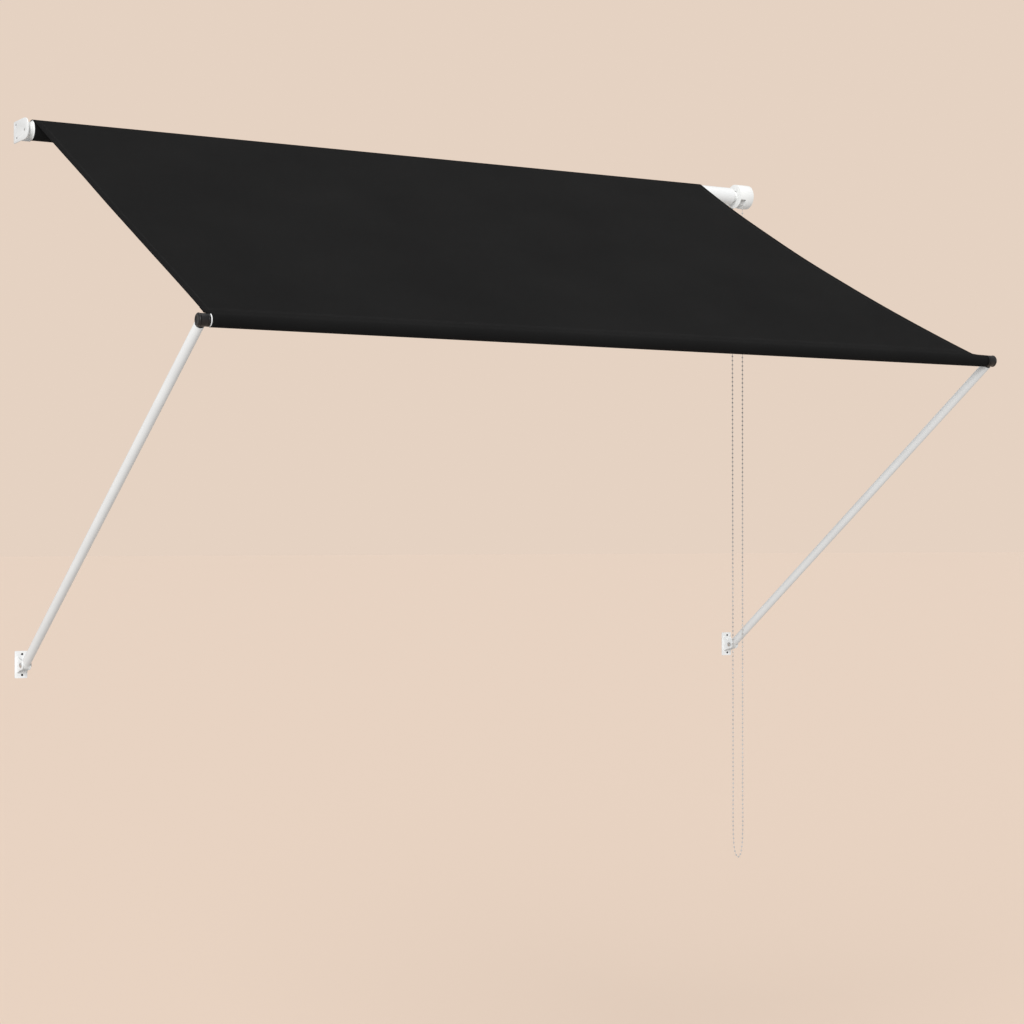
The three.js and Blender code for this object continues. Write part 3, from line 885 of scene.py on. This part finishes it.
def hole_shade_discs():
    """Thin dark discs inside the bracket holes: painted shade for the shadowed depth of the holes."""
    bm = bmesh.new()

    def disc(centre, axis):
        turn = Vector((0, 0, 1)).rotation_difference(axis).to_matrix().to_4x4()
        bmesh.ops.create_cone(bm, cap_ends=True, segments=24, radius1=HOLE_R, radius2=HOLE_R,
                              depth=SHADE_DISC_THICK, matrix=Matrix.Translation(centre) @ turn)

    for plane, inward in ENDS.values():
        for dz in (-29, 29):
            disc(Vector((plane + 3 * MM, -2.3 * MM, PIVOT.z + dz * MM)), Vector((0, 1, 0)))
        outer = plane - inward * 23.3 * MM
        for out, height in ((18, 24), (26, -14)):
            disc(Vector((outer, -out * MM, height * MM)), Vector((1, 0, 0)))
    piece("hole_shade_discs", bm, BLACK, "wall_side")


# dark discs painted as the shade inside the bracket holes
hole_shade_discs()
piece("clutch_housing", softened_copy("drive_housing", 0.8 * MM, 3), MOULDED, "wall_side",
      ["drive_housing"])
for index in (1, 2):
    piece(f"clutch_screw_{index}", softened_copy(f"drive_screw_{index}", 0.25 * MM), ZINC, "wall_side",
          [f"drive_screw_{index}"])


# ---- studio ----
FLOOR_TONE = (0.805, 0.645, 0.53, 1)
BACKDROP_TONE = (0.785, 0.645, 0.54, 1)
AMBIENT_TONE = (1.0, 0.985, 0.965, 1)
FLOOR_HALF = 300              # so wide that its edge meets the backdrop
FLOOR_BELOW = 1.6             # floor under the lowest point of the chain


def add_floor():
    bm = bmesh.new()
    bmesh.ops.create_grid(bm, x_segments=1, y_segments=1, size=FLOOR_HALF)
    bmesh.ops.translate(bm, verts=bm.verts, vec=(SPAN / 2, 0, cad_low.z - FLOOR_BELOW))
    mesh = bpy.data.meshes.new("floor")
    bm.to_mesh(mesh)
    bm.free()
    material, _tree, shader = new_material("pale_floor")
    shader.inputs["Base Color"].default_value = FLOOR_TONE
    shader.inputs["Roughness"].default_value = 0.9
    mesh.materials.append(material)
    floor = bpy.data.objects.new("floor", mesh)
    bpy.context.scene.collection.objects.link(floor)
    floor.visible_diffuse = False     # lights nothing from below


def add_sun(name, toward, energy, angle):
    """A broad soft light, shining toward a direction."""
    data = bpy.data.lights.new(name, "SUN")
    data.energy = energy
    data.angle = radians(angle)
    lamp = bpy.data.objects.new(name, data)
    lamp.rotation_euler = Vector(toward).to_track_quat("-Z", "Y").to_euler()
    bpy.context.scene.collection.objects.link(lamp)


def add_world():
    """Neutral light all round, seen directly as the backdrop's warm tone."""
    world = bpy.data.worlds.new("studio")
    world.use_nodes = True
    tree = world.node_tree
    backdrop = tree.nodes["Background"]
    backdrop.inputs["Color"].default_value = BACKDROP_TONE
    backdrop.inputs["Strength"].default_value = 1.0
    ambient = tree.nodes.new("ShaderNodeBackground")
    ambient.inputs["Color"].default_value = AMBIENT_TONE
    ambient.inputs["Strength"].default_value = 0.5
    seen = tree.nodes.new("ShaderNodeLightPath")
    either = tree.nodes.new("ShaderNodeMixShader")
    tree.links.new(seen.outputs["Is Camera Ray"], either.inputs["Fac"])
    tree.links.new(ambient.outputs[0], either.inputs[1])
    tree.links.new(backdrop.outputs[0], either.inputs[2])
    tree.links.new(either.outputs[0], tree.nodes["World Output"].inputs["Surface"])
    bpy.context.scene.world = world


add_floor()
add_sun("key", toward=(0.60, 0.74, -0.31), energy=2.3, angle=30)
add_sun("overhead", toward=(0.1, 0.1, -1.0), energy=0.9, angle=60)
add_world()
bpy.context.scene.view_settings.view_transform = "Standard"
